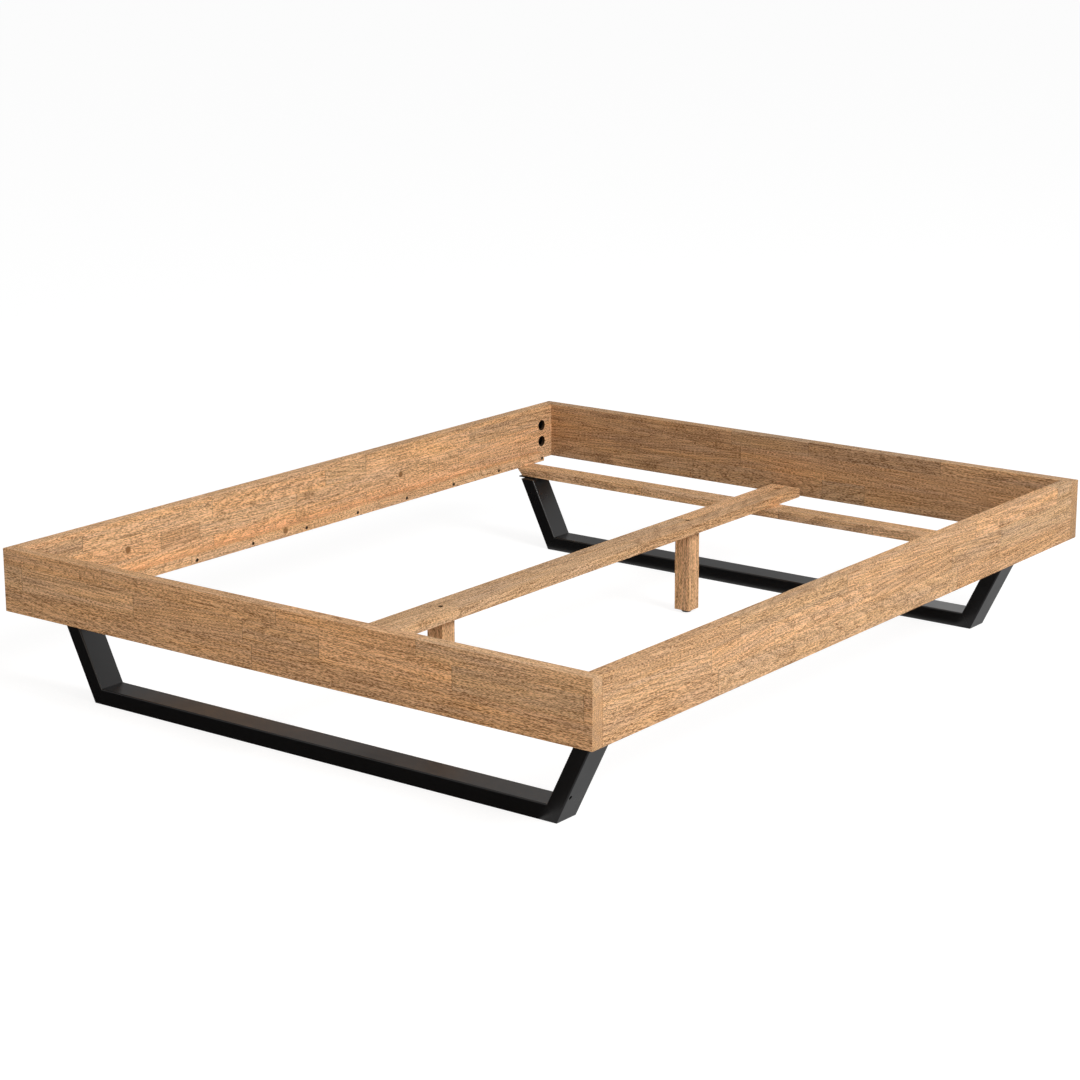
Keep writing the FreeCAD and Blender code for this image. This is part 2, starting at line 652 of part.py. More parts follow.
def skid_plate(end, side, way):
    """Plate welded on a leg, with a tab that is screwed to the cross bar from below."""
    place = skid_place(end)
    piece = Piece(f"skid_plate_{end}_{side}", z="Sizes.leg_rise", **place)
    far = f"({BAR_IN_SKID} + Sizes.bar_depth / 2)"
    near = f"({BAR_IN_SKID} - Sizes.bar_depth / 2 - Sizes.plate_reveal)"
    tab_near = f"({far} - Sizes.tab_depth)"
    tab_end = f"({LEG_TOP_IN} - Sizes.tab_reach)"
    outline = piece.sketch("XY_Plane")
    polygon(outline, [(f"({way} {across})", up) for across, up in (
        (LEG_TOP_IN, near),
        (f"({LEG_TOP_OUT} + Sizes.plate_lip)", near),
        (f"({LEG_TOP_OUT} + Sizes.plate_lip)", far),
        (tab_end, far),
        (tab_end, tab_near),
        (LEG_TOP_IN, tab_near),
    )])
    piece.pad(outline, "Sizes.plate_thickness")
    holes = piece.sketch("XY_Plane")
    for step in ("-", "+"):
        circle(holes, f"({way} {PLATE_SCREW_X})",
               f"({PLATE_SCREW_IN_SKID} {step} Sizes.plate_screw_spacing / 2)", screw_hole())
    piece.pocket(holes, reverse=True)


def plate_screws(end):
    """Flat-headed screws from below through both plates of a skid into its cross bar."""
    name = f"plate_screws_{end}"
    middle = f"({BAR_Y[end]} + {SIGN[end]} * (Sizes.bar_depth - Sizes.tab_depth) / 2)"
    piece = Piece(name, f"-{PLATE_SCREW_X}", f"{middle} - Sizes.plate_screw_spacing / 2",
                  "Sizes.leg_rise")
    profile = piece.sketch("XZ_Plane")
    grip = "(Sizes.plate_thickness + Sizes.screw_grip)"
    polygon(profile, [
        ("0", "-Sizes.screw_head_height"),
        ("Sizes.screw_head_diameter / 2", "-Sizes.screw_head_height"),
        ("Sizes.screw_head_diameter / 2", "0"),
        ("Sizes.screw_diameter / 2", "0"),
        ("Sizes.screw_diameter / 2", f"({grip} - Sizes.screw_diameter / 2)"),
        ("0", grip),
    ])
    turned = piece.revolve(profile)
    piece.repeat([turned], "X_Axis", f"2 * {PLATE_SCREW_X}", "2",
                 "Y_Axis", "Sizes.plate_screw_spacing")


# ---------------------------------------------------------------- corner connectors

def corner_piece(name, end, back, height):
    """A body at the lower left connector or dowel of an end, its +Z into the panel.

    back is how far its origin lies inside the rail, measured from the panel's inner face.
    """
    return Piece(f"{name}_{end}", f"{SIGN[end]} * -{BOARD_MIDDLE}",
                 f"{SIGN[end]} * ({END_FACE} - {back})", f"{UNDERSIDE} + {height}",
                 END_TURN[end].multiply(TO_HEAD))


def repeat_in_corners(piece, features, spacing):
    """Both sides of the bed, and the second one of the pair below the first."""
    piece.repeat(features, "X_Axis", f"2 * {BOARD_MIDDLE}", "2", "Y_Axis", spacing)


WASHER_FACE = "(Sizes.pocket_inset - Sizes.washer_chord)"
STUD_BACK = f"({WASHER_FACE} + Sizes.nut_height + Sizes.stud_past_nut)"


def corner_studs(end):
    piece = corner_piece("corner_studs", end, STUD_BACK, HIGH_CONNECTOR_Z)
    section = piece.sketch("XY_Plane")
    circle(section, "0", "0", "Sizes.stud_diameter")
    rod = piece.pad(section, f"({STUD_BACK} + Sizes.insert_length)")
    repeat_in_corners(piece, [rod], "Sizes.connector_spacing")


def corner_nuts(end):
    """Hexagon nuts that pull on the flat of each half-moon washer."""
    piece = corner_piece("corner_nuts", end, f"({WASHER_FACE} + Sizes.nut_height)",
                         HIGH_CONNECTOR_Z)
    section = piece.sketch("XY_Plane")
    corner = "Sizes.nut_across_flats / sqrt(3)"
    polygon(section, [(f"{corner} * cos({turn})", f"{corner} * sin({turn})")
                      for turn in range(0, 360, 60)])
    circle(section, "0", "0", screw_hole("Sizes.stud_diameter"))
    nut = piece.pad(section, "Sizes.nut_height")
    repeat_in_corners(piece, [nut], "Sizes.connector_spacing")


def corner_washers(end):
    """Half-moon washers: a segment of the pocket's circle with a flat for the nut."""
    piece = corner_piece("corner_washers", end, "Sizes.pocket_inset", HIGH_CONNECTOR_Z)
    section = piece.sketch("YZ_Plane")
    radius = value("Sizes.pocket_diameter / 2 - Sizes.head_gap")
    chord = value("Sizes.washer_chord")
    rise = (radius ** 2 - chord ** 2) ** 0.5
    low = FreeCAD.Vector(-rise, chord, 0)
    high = FreeCAD.Vector(rise, chord, 0)
    top = FreeCAD.Vector(0, radius, 0)
    arc = section.addGeometry(Part.Arc(low, top, high), False)
    flat = section.addGeometry(Part.LineSegment(high, low), False)
    start, finish, centre = 1, 2, 3
    if section.getPoint(arc, start).distanceToPoint(low) > radius:
        arc_low, arc_high = finish, start
    else:
        arc_low, arc_high = start, finish
    section.addConstraint(Sketcher.Constraint("Coincident", arc, centre, -1, 1))
    section.addConstraint(Sketcher.Constraint("Coincident", arc, arc_low, flat, finish))
    section.addConstraint(Sketcher.Constraint("Coincident", arc, arc_high, flat, start))
    section.addConstraint(Sketcher.Constraint("Horizontal", flat))
    distance(section, "DistanceY", flat, 1, "Sizes.washer_chord", "chord")
    bound = section.addConstraint(Sketcher.Constraint("Radius", arc, radius))
    section.renameConstraint(bound, "radius")
    section.setExpression("Constraints.radius", "Sizes.pocket_diameter / 2 - Sizes.head_gap")
    moon = piece.pad(section, "Sizes.washer_height", centred=True)
    hole = piece.sketch("XY_Plane")
    circle(hole, "0", "0", "(Sizes.stud_diameter + Sizes.stud_bore_clearance)")
    bore = piece.pocket(hole, reverse=True)
    repeat_in_corners(piece, [moon, bore], "Sizes.connector_spacing")


def panel_inserts(end):
    piece = corner_piece("panel_inserts", end, "0", HIGH_CONNECTOR_Z)
    sleeve(piece, "Sizes.insert_diameter", screw_hole("Sizes.stud_diameter"),
           "Sizes.insert_length")
    repeat_in_corners(piece, [piece.body.Tip], "Sizes.connector_spacing")


def corner_dowels(end):
    piece = corner_piece("corner_dowels", end, "Sizes.dowel_length / 2", HIGH_DOWEL_Z)
    profile = piece.sketch("XZ_Plane")
    radius = "Sizes.dowel_diameter / 2"
    polygon(profile, [
        ("0", "0"),
        (f"{radius} - Sizes.dowel_chamfer", "0"),
        (radius, "Sizes.dowel_chamfer"),
        (radius, "Sizes.dowel_length - Sizes.dowel_chamfer"),
        (f"{radius} - Sizes.dowel_chamfer", "Sizes.dowel_length"),
        ("0", "Sizes.dowel_length"),
    ])
    peg = piece.revolve(profile)
    repeat_in_corners(piece, [peg], "Sizes.panel_height - 2 * Sizes.dowel_edge")


# ---------------------------------------------------------------- the whole bed frame

for end in ("head", "foot"):
    end_panel(end)
for side in ("left", "right"):
    side_rail(side)
    slat_ledge(side)
    ledge_screws(side)
for end in ("head", "foot"):
    cross_bar(end)
    bar_screws(end)
centre_beam()
beam_screws()
post_screws()
for end in ("head", "foot"):
    support_post(end)
    levelling_foot(end)
for end, sides in (("head", {"left": "-", "right": "+"}), ("foot", {"left": "+", "right": "-"})):
    skid_bar(end)
    for side, way in sides.items():
        skid_leg(end, side, way, vented=way == "-")
        skid_plate(end, side, way)
    plate_screws(end)
for end in ("head", "foot"):
    for make in (corner_studs, corner_nuts, corner_washers, panel_inserts, corner_dowels):
        make(end)

doc.recompute()

# ---------------------------------------------------------------- checks and files

faults = [item.Name for item in doc.Objects
          if "Invalid" in item.State or "Error" in item.State]
for piece in pieces:
    if piece.Shape.isNull() or not piece.Shape.isValid():
        faults.append(piece.Label)
if faults:
    raise RuntimeError("failed objects: " + ", ".join(faults))

os.makedirs("parts", exist_ok=True)
for piece in pieces:
    piece.Shape.exportStep(os.path.join("parts", f"{piece.Label}.step"))
    box = piece.Shape.BoundBox
    print(f"{piece.Label:24s} {len(piece.Shape.Solids):3d} solids {piece.Shape.Volume / 1000:10.1f} cm3"
          f"  x {box.XMin:8.1f} {box.XMax:8.1f}  y {box.YMin:8.1f} {box.YMax:8.1f}"
          f"  z {box.ZMin:6.1f} {box.ZMax:6.1f}")
print(len(pieces), "pieces")
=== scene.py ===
# %% [markdown]
# # Oak bed frame on two steel skids
#
# The model is the frame of a double bed: four boards of glued oak staves round an open well, a flat
# beam on two posts down the middle, and two trapezoid skids of black steel tube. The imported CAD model
# already has every solid at its real place and size, so this lesson dresses it: the boards are cut
# into their staves, the tubes get soft highlights along their corners, screws get their recesses, and
# each surface gets a material for what it is made of.

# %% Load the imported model
import math
import random

import bmesh
import bpy
from mathutils import Matrix, Vector


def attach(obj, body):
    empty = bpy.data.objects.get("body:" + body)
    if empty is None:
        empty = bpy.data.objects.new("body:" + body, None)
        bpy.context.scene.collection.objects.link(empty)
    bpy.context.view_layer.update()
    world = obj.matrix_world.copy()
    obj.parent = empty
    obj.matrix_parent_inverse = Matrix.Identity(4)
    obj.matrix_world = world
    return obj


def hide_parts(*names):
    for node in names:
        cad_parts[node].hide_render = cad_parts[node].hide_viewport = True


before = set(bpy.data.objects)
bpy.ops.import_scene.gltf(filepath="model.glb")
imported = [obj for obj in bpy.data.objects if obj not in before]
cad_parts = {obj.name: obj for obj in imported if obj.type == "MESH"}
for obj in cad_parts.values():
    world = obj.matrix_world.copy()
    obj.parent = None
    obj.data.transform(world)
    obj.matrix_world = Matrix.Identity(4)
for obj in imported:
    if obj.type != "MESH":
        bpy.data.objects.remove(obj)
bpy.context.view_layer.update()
MM = 0.001

# %% [markdown]
# ## The camera
#
# The bed is seen from its foot end and its right-hand side, from a little above. A long lens keeps
# the boards nearly parallel, as in a catalogue picture. The camera's place and turn are written as
# numbers, because they were worked out from the edges of the bed, which are of known length.

# %% Camera
CAMERA_PLACE = Vector((3.7655143, -5.0712888, 1.9336857))
CAMERA_AZIMUTH = math.radians(37.1708)
CAMERA_DIP = math.radians(14.5186)
CAMERA_ROLL = math.radians(-0.173)
LENS = 90.306
SENSOR = 36

forward = Vector((-math.sin(CAMERA_AZIMUTH) * math.cos(CAMERA_DIP),
                  math.cos(CAMERA_AZIMUTH) * math.cos(CAMERA_DIP),
                  -math.sin(CAMERA_DIP)))
level = Vector((math.cos(CAMERA_AZIMUTH), math.sin(CAMERA_AZIMUTH), 0))
upright = level.cross(forward)
rightward = level * math.cos(CAMERA_ROLL) + upright * math.sin(CAMERA_ROLL)
upward = upright * math.cos(CAMERA_ROLL) - level * math.sin(CAMERA_ROLL)

lens = bpy.data.cameras.new("camera")
lens.lens = LENS
lens.sensor_width = SENSOR
lens.clip_end = 100
camera = bpy.data.objects.new("camera", lens)
bpy.context.scene.collection.objects.link(camera)
camera.matrix_world = (Matrix.Translation(CAMERA_PLACE)
                       @ Matrix((rightward, upward, -forward)).transposed().to_4x4())
bpy.context.scene.camera = camera
bpy.context.scene.view_settings.view_transform = "Standard"
print("camera looks along", [round(number, 3) for number in forward])

# %% [markdown]
# ## Colours and nodes
#
# Colours are written as they look on a screen, in sRGB hex, and one function turns them to the
# linear values that shaders work in. One more function adds a shader node, sets it and links it,
# so each material below reads as a list of steps.

# %% Helpers for materials
SRGB_KNEE = 0.04045
SRGB_SLOPE = 12.92
SRGB_OFFSET = 0.055
SRGB_POWER = 2.4


def linear(colour):
    """Linear red, green and blue of an sRGB hex colour such as #cda67f."""
    channels = []
    for start in (1, 3, 5):
        level = int(colour[start:start + 2], 16) / 255
        if level <= SRGB_KNEE:
            channels.append(level / SRGB_SLOPE)
        else:
            channels.append(((level + SRGB_OFFSET) / (1 + SRGB_OFFSET)) ** SRGB_POWER)
    return channels


def add(tree, kind, inputs=None, **settings):
    """A new node. An input is a number, a colour or the output socket that it is linked from."""
    node = tree.nodes.new(kind)
    for name, setting in settings.items():
        setattr(node, name, setting)
    for name, given in (inputs or {}).items():
        if isinstance(given, bpy.types.NodeSocket):
            tree.links.new(given, node.inputs[name])
        else:
            node.inputs[name].default_value = given
    return node


def new_material(name):
    """An empty material with its output node, and its node tree."""
    material = bpy.data.materials.new(name)
    material.use_nodes = True
    material.node_tree.nodes.clear()
    return material, material.node_tree, add(material.node_tree, "ShaderNodeOutputMaterial")


print("foot panel colour", [round(channel, 3) for channel in linear("#a57f5d")])

# %% [markdown]
# ## Oiled oak
#
# The boards are glued from staves of solid oak and oiled, which leaves them matt. Every stave was cut
# from another part of a log, so its growth rings run its own way. The pattern is therefore made as it
# is in the tree: rings are cylinders round a pith line that lies somewhere outside the stave, and a
# cut through them shows straight lines, arches or, at a stave's end, arcs. On top of the rings come
# streaks, fibres and pores, which crowd in the dark part of a ring, and broad bands that are a
# little yellower or greyer. Each stave says by face attributes which colour its wood has, with
# painted shade or painted light on three whole boards, which way its grain runs, where its pith lies,
# how strong its figure is and where its two ends are, so that a hairline shows at each butt joint.
# Another attribute paints shade on the walls of holes.
#
# Real rings are 2 to 4 mm wide and pores 0.3 mm. Both are drawn coarser, because the whole bed fits
# in the picture and a millimetre is less than half a pixel there.

# %% Material: oiled oak
RING_DRIFT = 12
RING_RIPPLE = 1.3
BAND = (17, 260)
STREAK = (6, 210)
FIBRE = (1.25, 95)
PORE = (0.62, 7)
OAK_GREYER = (0.92, 0.95, 1.04)
OAK_YELLOWER = (1.08, 1.04, 0.94)
OAK_SHADOW = (0.42, 0.35, 0.28)
OAK_LIGHT = (1.50, 1.53, 1.56)

oak, tree, output = new_material("oiled_solid_oak_staves")
place = add(tree, "ShaderNodeTexCoord")
# The colour attribute holds each stave's tone, with painted shade or painted light on three whole
# boards, and another attribute holds painted shade for the walls of holes.
wood_tone_and_painted_shade = add(tree, "ShaderNodeAttribute", attribute_name="wood_tone_and_painted_shade")
grain = add(tree, "ShaderNodeAttribute", attribute_name="grain")
pith = add(tree, "ShaderNodeAttribute", attribute_name="pith")
figure = add(tree, "ShaderNodeAttribute", attribute_name="figure")
knot = add(tree, "ShaderNodeAttribute", attribute_name="knot")
hole_shade = add(tree, "ShaderNodeAttribute", attribute_name="hole_shade")
ends = add(tree, "ShaderNodeAttribute", attribute_name="ends")

in_mm = add(tree, "ShaderNodeVectorMath", {0: place.outputs["Object"], "Scale": 1 / MM},
            operation="SCALE")
from_pith = add(tree, "ShaderNodeVectorMath", {0: in_mm.outputs[0], 1: pith.outputs["Vector"]},
                operation="SUBTRACT")
along = add(tree, "ShaderNodeVectorMath", {0: from_pith.outputs[0], 1: grain.outputs["Vector"]},
            operation="DOT_PRODUCT")
lengthwise = add(tree, "ShaderNodeVectorMath",
                 {0: grain.outputs["Vector"], "Scale": along.outputs["Value"]}, operation="SCALE")
crosswise = add(tree, "ShaderNodeVectorMath", {0: from_pith.outputs[0], 1: lengthwise.outputs[0]},
                operation="SUBTRACT")
radius = add(tree, "ShaderNodeVectorMath", {0: crosswise.outputs[0]}, operation="LENGTH")
figure_parts = add(tree, "ShaderNodeSeparateXYZ", {0: figure.outputs["Vector"]})


def fibres(width, length, detail):
    """Noise drawn out along the grain: cells of this width and length in millimetres."""
    across, lengthways = 1 / width, 1 / length
    scale = add(tree, "ShaderNodeVectorMath",
                {0: grain.outputs["Vector"], 1: (lengthways - across,) * 3, 2: (across,) * 3},
                operation="MULTIPLY_ADD")
    stretched = add(tree, "ShaderNodeVectorMath", {0: from_pith.outputs[0], 1: scale.outputs[0]},
                    operation="MULTIPLY")
    noise = add(tree, "ShaderNodeTexNoise",
                {"Vector": stretched.outputs[0], "Scale": 1, "Detail": detail})
    return add(tree, "ShaderNodeMath", {0: noise.outputs[0], 1: 0.5}, operation="SUBTRACT").outputs[0]


# A knot is a branch: rings bend round it and its middle is dark.
to_knot = add(tree, "ShaderNodeVectorMath", {0: in_mm.outputs[0], 1: knot.outputs["Vector"]},
              operation="DISTANCE")
near_knot = add(tree, "ShaderNodeMapRange",
                {"Value": to_knot.outputs["Value"], "From Min": 5, "From Max": 34,
                 "To Min": 1, "To Max": 0}, interpolation_type="SMOOTHERSTEP")
knot_heart = add(tree, "ShaderNodeMapRange",
                 {"Value": to_knot.outputs["Value"], "From Min": 4, "From Max": 11,
                  "To Min": 2.4, "To Max": 0}, interpolation_type="SMOOTHSTEP")

drift = add(tree, "ShaderNodeMath",
            {0: fibres(60, 420, 0), 1: RING_DRIFT, 2: radius.outputs["Value"]},
            operation="MULTIPLY_ADD")
ripple = add(tree, "ShaderNodeMath",
             {0: fibres(8, 60, 1), 1: RING_RIPPLE, 2: drift.outputs[0]}, operation="MULTIPLY_ADD")
bent = add(tree, "ShaderNodeMath",
           {0: near_knot.outputs[0], 1: 9, 2: ripple.outputs[0]}, operation="MULTIPLY_ADD")
tapered = add(tree, "ShaderNodeMath",
              {0: along.outputs["Value"], 1: figure_parts.outputs[0], 2: bent.outputs[0]},
              operation="MULTIPLY_ADD")
ring_count = add(tree, "ShaderNodeMath", {0: tapered.outputs[0], 1: figure_parts.outputs[1]},
                 operation="DIVIDE")
ring = add(tree, "ShaderNodeMath", {0: ring_count.outputs[0]}, operation="FRACT")
# A ring starts with a dark band of large pores and ends in dense, lighter wood.
ring_tone = add(tree, "ShaderNodeValToRGB", {0: ring.outputs[0]})
ramp = ring_tone.color_ramp
for position, tone in ((0.0, 0.4), (0.08, 0.0), (0.22, 0.45), (0.45, 0.85), (0.9, 1.0), (1.0, 0.4)):
    stop = ramp.elements.new(position) if 0 < position < 1 else ramp.elements[int(position)]
    stop.color = (tone, tone, tone, 1)
ring_swing = add(tree, "ShaderNodeMath", {0: ring_tone.outputs[0], 1: 0.7}, operation="SUBTRACT")
ring_part = add(tree, "ShaderNodeMath",
                {0: ring_swing.outputs[0], 1: figure_parts.outputs[2], 2: 0.5},
                operation="MULTIPLY_ADD")
streak_part = add(tree, "ShaderNodeMath", {0: fibres(*STREAK, 1), 1: 0.7, 2: ring_part.outputs[0]},
                  operation="MULTIPLY_ADD")
fibre_part = add(tree, "ShaderNodeMath", {0: fibres(*FIBRE, 0), 1: 2.5, 2: streak_part.outputs[0]},
                 operation="MULTIPLY_ADD")
# Oak is ring-porous: its large pores crowd in the dark band of each ring.
crowding = add(tree, "ShaderNodeMapRange",
               {"Value": ring_tone.outputs[0], "To Min": 9.5, "To Max": 3.8})
pored = add(tree, "ShaderNodeMath",
            {0: fibres(*PORE, 0), 1: crowding.outputs[0], 2: fibre_part.outputs[0]},
            operation="MULTIPLY_ADD")
knotted = add(tree, "ShaderNodeMath", {0: pored.outputs[0], 1: knot_heart.outputs[0]},
              operation="SUBTRACT", use_clamp=True)
tint = add(tree, "ShaderNodeMix",
           {0: knotted.outputs[0], 6: (*OAK_SHADOW, 1), 7: (*OAK_LIGHT, 1)}, data_type="RGBA")
# Broad bands of a stave are yellower or greyer, as its sapwood and heartwood took the oil.
band = add(tree, "ShaderNodeMath", {0: fibres(*BAND, 1), 1: 1.9, 2: 0.5},
           operation="MULTIPLY_ADD", use_clamp=True)
hue = add(tree, "ShaderNodeMix",
          {0: band.outputs[0], 6: (*OAK_GREYER, 1), 7: (*OAK_YELLOWER, 1)}, data_type="RGBA")
banded = add(tree, "ShaderNodeVectorMath", {0: wood_tone_and_painted_shade.outputs["Color"], 1: hue.outputs[2]},
             operation="MULTIPLY")
tinted = add(tree, "ShaderNodeVectorMath", {0: banded.outputs[0], 1: tint.outputs[2]},
             operation="MULTIPLY")
# A butt joint shows as a hairline, where the cut ends drank more oil.
station = add(tree, "ShaderNodeVectorMath", {0: in_mm.outputs[0], 1: grain.outputs["Vector"]},
              operation="DOT_PRODUCT")
both_ends = add(tree, "ShaderNodeSeparateXYZ", {0: ends.outputs["Vector"]})
joints = []
for side in (0, 1):
    gap = add(tree, "ShaderNodeMath", {0: station.outputs["Value"], 1: both_ends.outputs[side]},
              operation="SUBTRACT")
    joints.append(add(tree, "ShaderNodeMath", {0: gap.outputs[0]}, operation="ABSOLUTE"))
joint = add(tree, "ShaderNodeMath", {0: joints[0].outputs[0], 1: joints[1].outputs[0]},
            operation="MINIMUM")
hairline = add(tree, "ShaderNodeMapRange",
               {"Value": joint.outputs[0], "From Min": 0.6, "From Max": 1.4, "To Min": 0.62,
                "To Max": 1})
# Painted shade: faces inside holes are darkened by the shade painted on them.
unshaded = add(tree, "ShaderNodeMath", {0: 1, 1: hole_shade.outputs["Fac"]}, operation="SUBTRACT")
darkened = add(tree, "ShaderNodeMath", {0: unshaded.outputs[0], 1: hairline.outputs[0]},
               operation="MULTIPLY")
finished = add(tree, "ShaderNodeVectorMath", {0: tinted.outputs[0], "Scale": darkened.outputs[0]},
               operation="SCALE")
roughness = add(tree, "ShaderNodeMapRange",
                {"Value": knotted.outputs[0], "To Min": 0.68, "To Max": 0.52})
bump = add(tree, "ShaderNodeBump",
           {"Height": knotted.outputs[0], "Strength": 0.35, "Distance": 0.3 * MM})
surface = add(tree, "ShaderNodeBsdfPrincipled",
              {"Base Color": finished.outputs[0], "Roughness": roughness.outputs[0],
               "IOR": 1.45, "Specular IOR Level": 0.15, "Normal": bump.outputs[0]})
tree.links.new(surface.outputs[0], output.inputs[0])
print(oak.name, len(tree.nodes), "nodes")

# %% [markdown]
# ## Cutting a board into staves
#
# A glued board is rows of staves, butted end to end. The real joints are flat glue lines, so the
# board's own solid is cut by planes: first along the rows, then across each row. The shape stays as
# it was, and every face learns which stave it belongs to. Cutting keeps the pattern in the geometry,
# where it stays put from all sides, and a stave's face and end grain agree because they share a pith.

# %% Stave colours
OAK_COLOUR = "#d0a77e"
STAVE_LIGHT = (0.88, 1.12)
STAVE_WARMTH = 0.04
# Painted shade and light: the head panel is painted darker and the left rail and ledge lighter.
PAINTED_BOARD_SHADE_AND_LIGHT = {"head_panel": 0.8, "side_rail_left": 1.1, "slat_ledge_left": 1.1}
OUT_OF_REACH = 10000
FAR_AWAY = Vector((0, 0, OUT_OF_REACH))
print("staves are", STAVE_LIGHT, "times as light as", OAK_COLOUR)

# %% Merged copies and boards
MERGE = 1e-6
FLAT = math.radians(0.5)


def merged_copy(name):
    """The surface of a CAD node as a bmesh, its loose triangles joined to flat faces."""
    bm = bmesh.new()
    bm.from_mesh(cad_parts[name].data)
    bmesh.ops.remove_doubles(bm, verts=bm.verts, dist=MERGE)
    bmesh.ops.dissolve_limit(bm, angle_limit=FLAT, verts=bm.verts, edges=bm.edges)
    return bm


def finish_piece(bm, name, body, material, stands_for, crisp=30):
    """Turns a bmesh into an object that rides on a body in place of CAD nodes."""
    mesh = bpy.data.meshes.new(name)
    bm.to_mesh(mesh)
    bm.free()
    mesh.polygons.foreach_set("use_smooth", [True] * len(mesh.polygons))
    mesh.set_sharp_from_angle(angle=math.radians(crisp))
    mesh.materials.append(material)
    piece = bpy.data.objects.new(name, mesh)
    bpy.context.scene.collection.objects.link(piece)
    flat = piece.modifiers.new("flat_faces_stay_flat", "WEIGHTED_NORMAL")
    flat.keep_sharp = True
    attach(piece, body)
    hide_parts(*stands_for)
    return piece


def ease_box_edges(bm, width):
    """Rounds the long outer edges of a sawn stick, but not the rims of its holes."""
    low = Vector([min(vert.co[axis] for vert in bm.verts) for axis in range(3)])
    high = Vector([max(vert.co[axis] for vert in bm.verts) for axis in range(3)])
    outer = []
    for edge in bm.edges:
        if len(edge.link_faces) < 2 or edge.calc_face_angle() < math.radians(45):
            continue
        flush = 0
        for axis in range(3):
            ends = [vert.co[axis] for vert in edge.verts]
            for side in (low[axis], high[axis]):
                flush += all(abs(end - side) < MERGE * 10 for end in ends)
        if flush >= 2:
            outer.append(edge)
    bmesh.ops.bevel(bm, geom=outer, offset=width, affect="EDGES", segments=2, profile=0.5,
                    material=-1)


print("head panel copy has", len(merged_copy("head_panel").faces), "faces")


# %% Staves
def cut(bm, faces, point, normal):
    """Cuts some faces along a plane and leaves both sides."""
    geometry = set(faces)
    for face in faces:
        geometry.update(face.edges)
        geometry.update(face.verts)
    bmesh.ops.bisect_plane(bm, geom=list(geometry), dist=MERGE, plane_co=point, plane_no=normal)


def staves(bm, name, corner, grain, across, rows, knots=()):
    """Cuts a board into rows of staves and gives each stave's faces its wood.

    corner is where both measures start. A row is its far edge and the far ends of its
    staves. All measures are in millimetres. Each stave's tone is drawn around the oak's colour,
    and three whole boards are painted darker or lighter on top, as painted shade and painted light.
    """
    corner, grain, across = Vector(corner) * MM, Vector(grain), Vector(across)
    draw = random.Random(name)
    oiling = random.Random("tone of " + name)
    thick = grain.cross(across)
    spots = [corner / MM + grain * far + across * down for far, down in knots] or [FAR_AWAY]
    tone_and_painted_shade_layer = bm.faces.layers.float_color.new("wood_tone_and_painted_shade")
    vectors = {key: bm.faces.layers.float_vector.new(key)
               for key in ("grain", "pith", "figure", "knot", "ends")}
    # Painted shade for the walls of holes starts at none and is set later.
    hole_shade_layer = bm.faces.layers.float.new("hole_shade")
    for edge, row in rows[:-1]:
        cut(bm, bm.faces[:], corner + across * edge * MM, across)
    near = -math.inf
    for edge, row in rows:
        start = -math.inf
        for end in row:
            def in_row(face):
                offset = (face.calc_center_median() - corner).dot(across) / MM
                return near < offset <= edge or (edge == rows[-1][0] and offset > near)
            if end != row[-1]:
                cut(bm, [face for face in bm.faces if in_row(face)],
                    corner + grain * end * MM, grain)
            distance = draw.uniform(22, 120)
            turn = draw.uniform(0, math.tau)
            middle = max(near, 0) + (edge - max(near, 0)) / 2
            pith = corner / MM + across * middle
            pith += (across * math.cos(turn) + thick * math.sin(turn)) * distance
            pith += grain * draw.uniform(-3000, 3000)
            figure = (draw.choice((-1, 1)) * draw.uniform(0.05, 0.14), draw.uniform(5, 8.5),
                      draw.uniform(0.5, 1.0))
            # Painted shade and light: a whole board's staves are made darker or lighter here.
            light = oiling.uniform(*STAVE_LIGHT) * PAINTED_BOARD_SHADE_AND_LIGHT.get(name, 1)
            warmth = oiling.uniform(-STAVE_WARMTH, STAVE_WARMTH)
            tone = [channel * light * (1 + warmth * side)
                    for channel, side in zip(linear(OAK_COLOUR), (1, 0, -1))]
            ways = [abs(part) for part in grain]
            stations = [corner.dot(ways) / MM + grain.dot(ways) * far
                        if 0 < far < row[-1] else OUT_OF_REACH for far in (start, end)]
            for face in bm.faces:
                centre = (face.calc_center_median() - corner) / MM
                reach = centre.dot(grain)
                if in_row(face) and (start < reach <= end or (end == row[-1] and reach > start)):
                    face[tone_and_painted_shade_layer] = (*tone, 1)
                    face[vectors["grain"]] = ways
                    face[vectors["ends"]] = (*stations, 0)
                    face[vectors["pith"]] = pith
                    face[vectors["figure"]] = figure
                    face[vectors["knot"]] = min(
                        spots, key=lambda spot: abs((spot - corner / MM).dot(grain) - reach))
                    face[hole_shade_layer] = 0
            start = end
        near = edge
    return bm


def paint_hole_shade(bm, depth=0.93):
    """Paints shade on the walls of drilled holes, the faces that lie inside the piece's outer box."""
    layer = bm.faces.layers.float["hole_shade"]
    low = Vector([min(vert.co[axis] for vert in bm.verts) for axis in range(3)])
    high = Vector([max(vert.co[axis] for vert in bm.verts) for axis in range(3)])
    for face in bm.faces:
        centre = face.calc_center_median()
        outside = any(min(centre[axis] - low[axis], high[axis] - centre[axis]) < 1.6 * MM
                      for axis in range(3))
        if not outside:
            face[layer] = depth


# %% [markdown]
# ## The four boards of the box
#
# The end panels run the full width and cover the ends of the rails. The ends of their staves are
# listed row by row from the top, as they lie on the real bed. No stave's colour is listed: it is drawn.

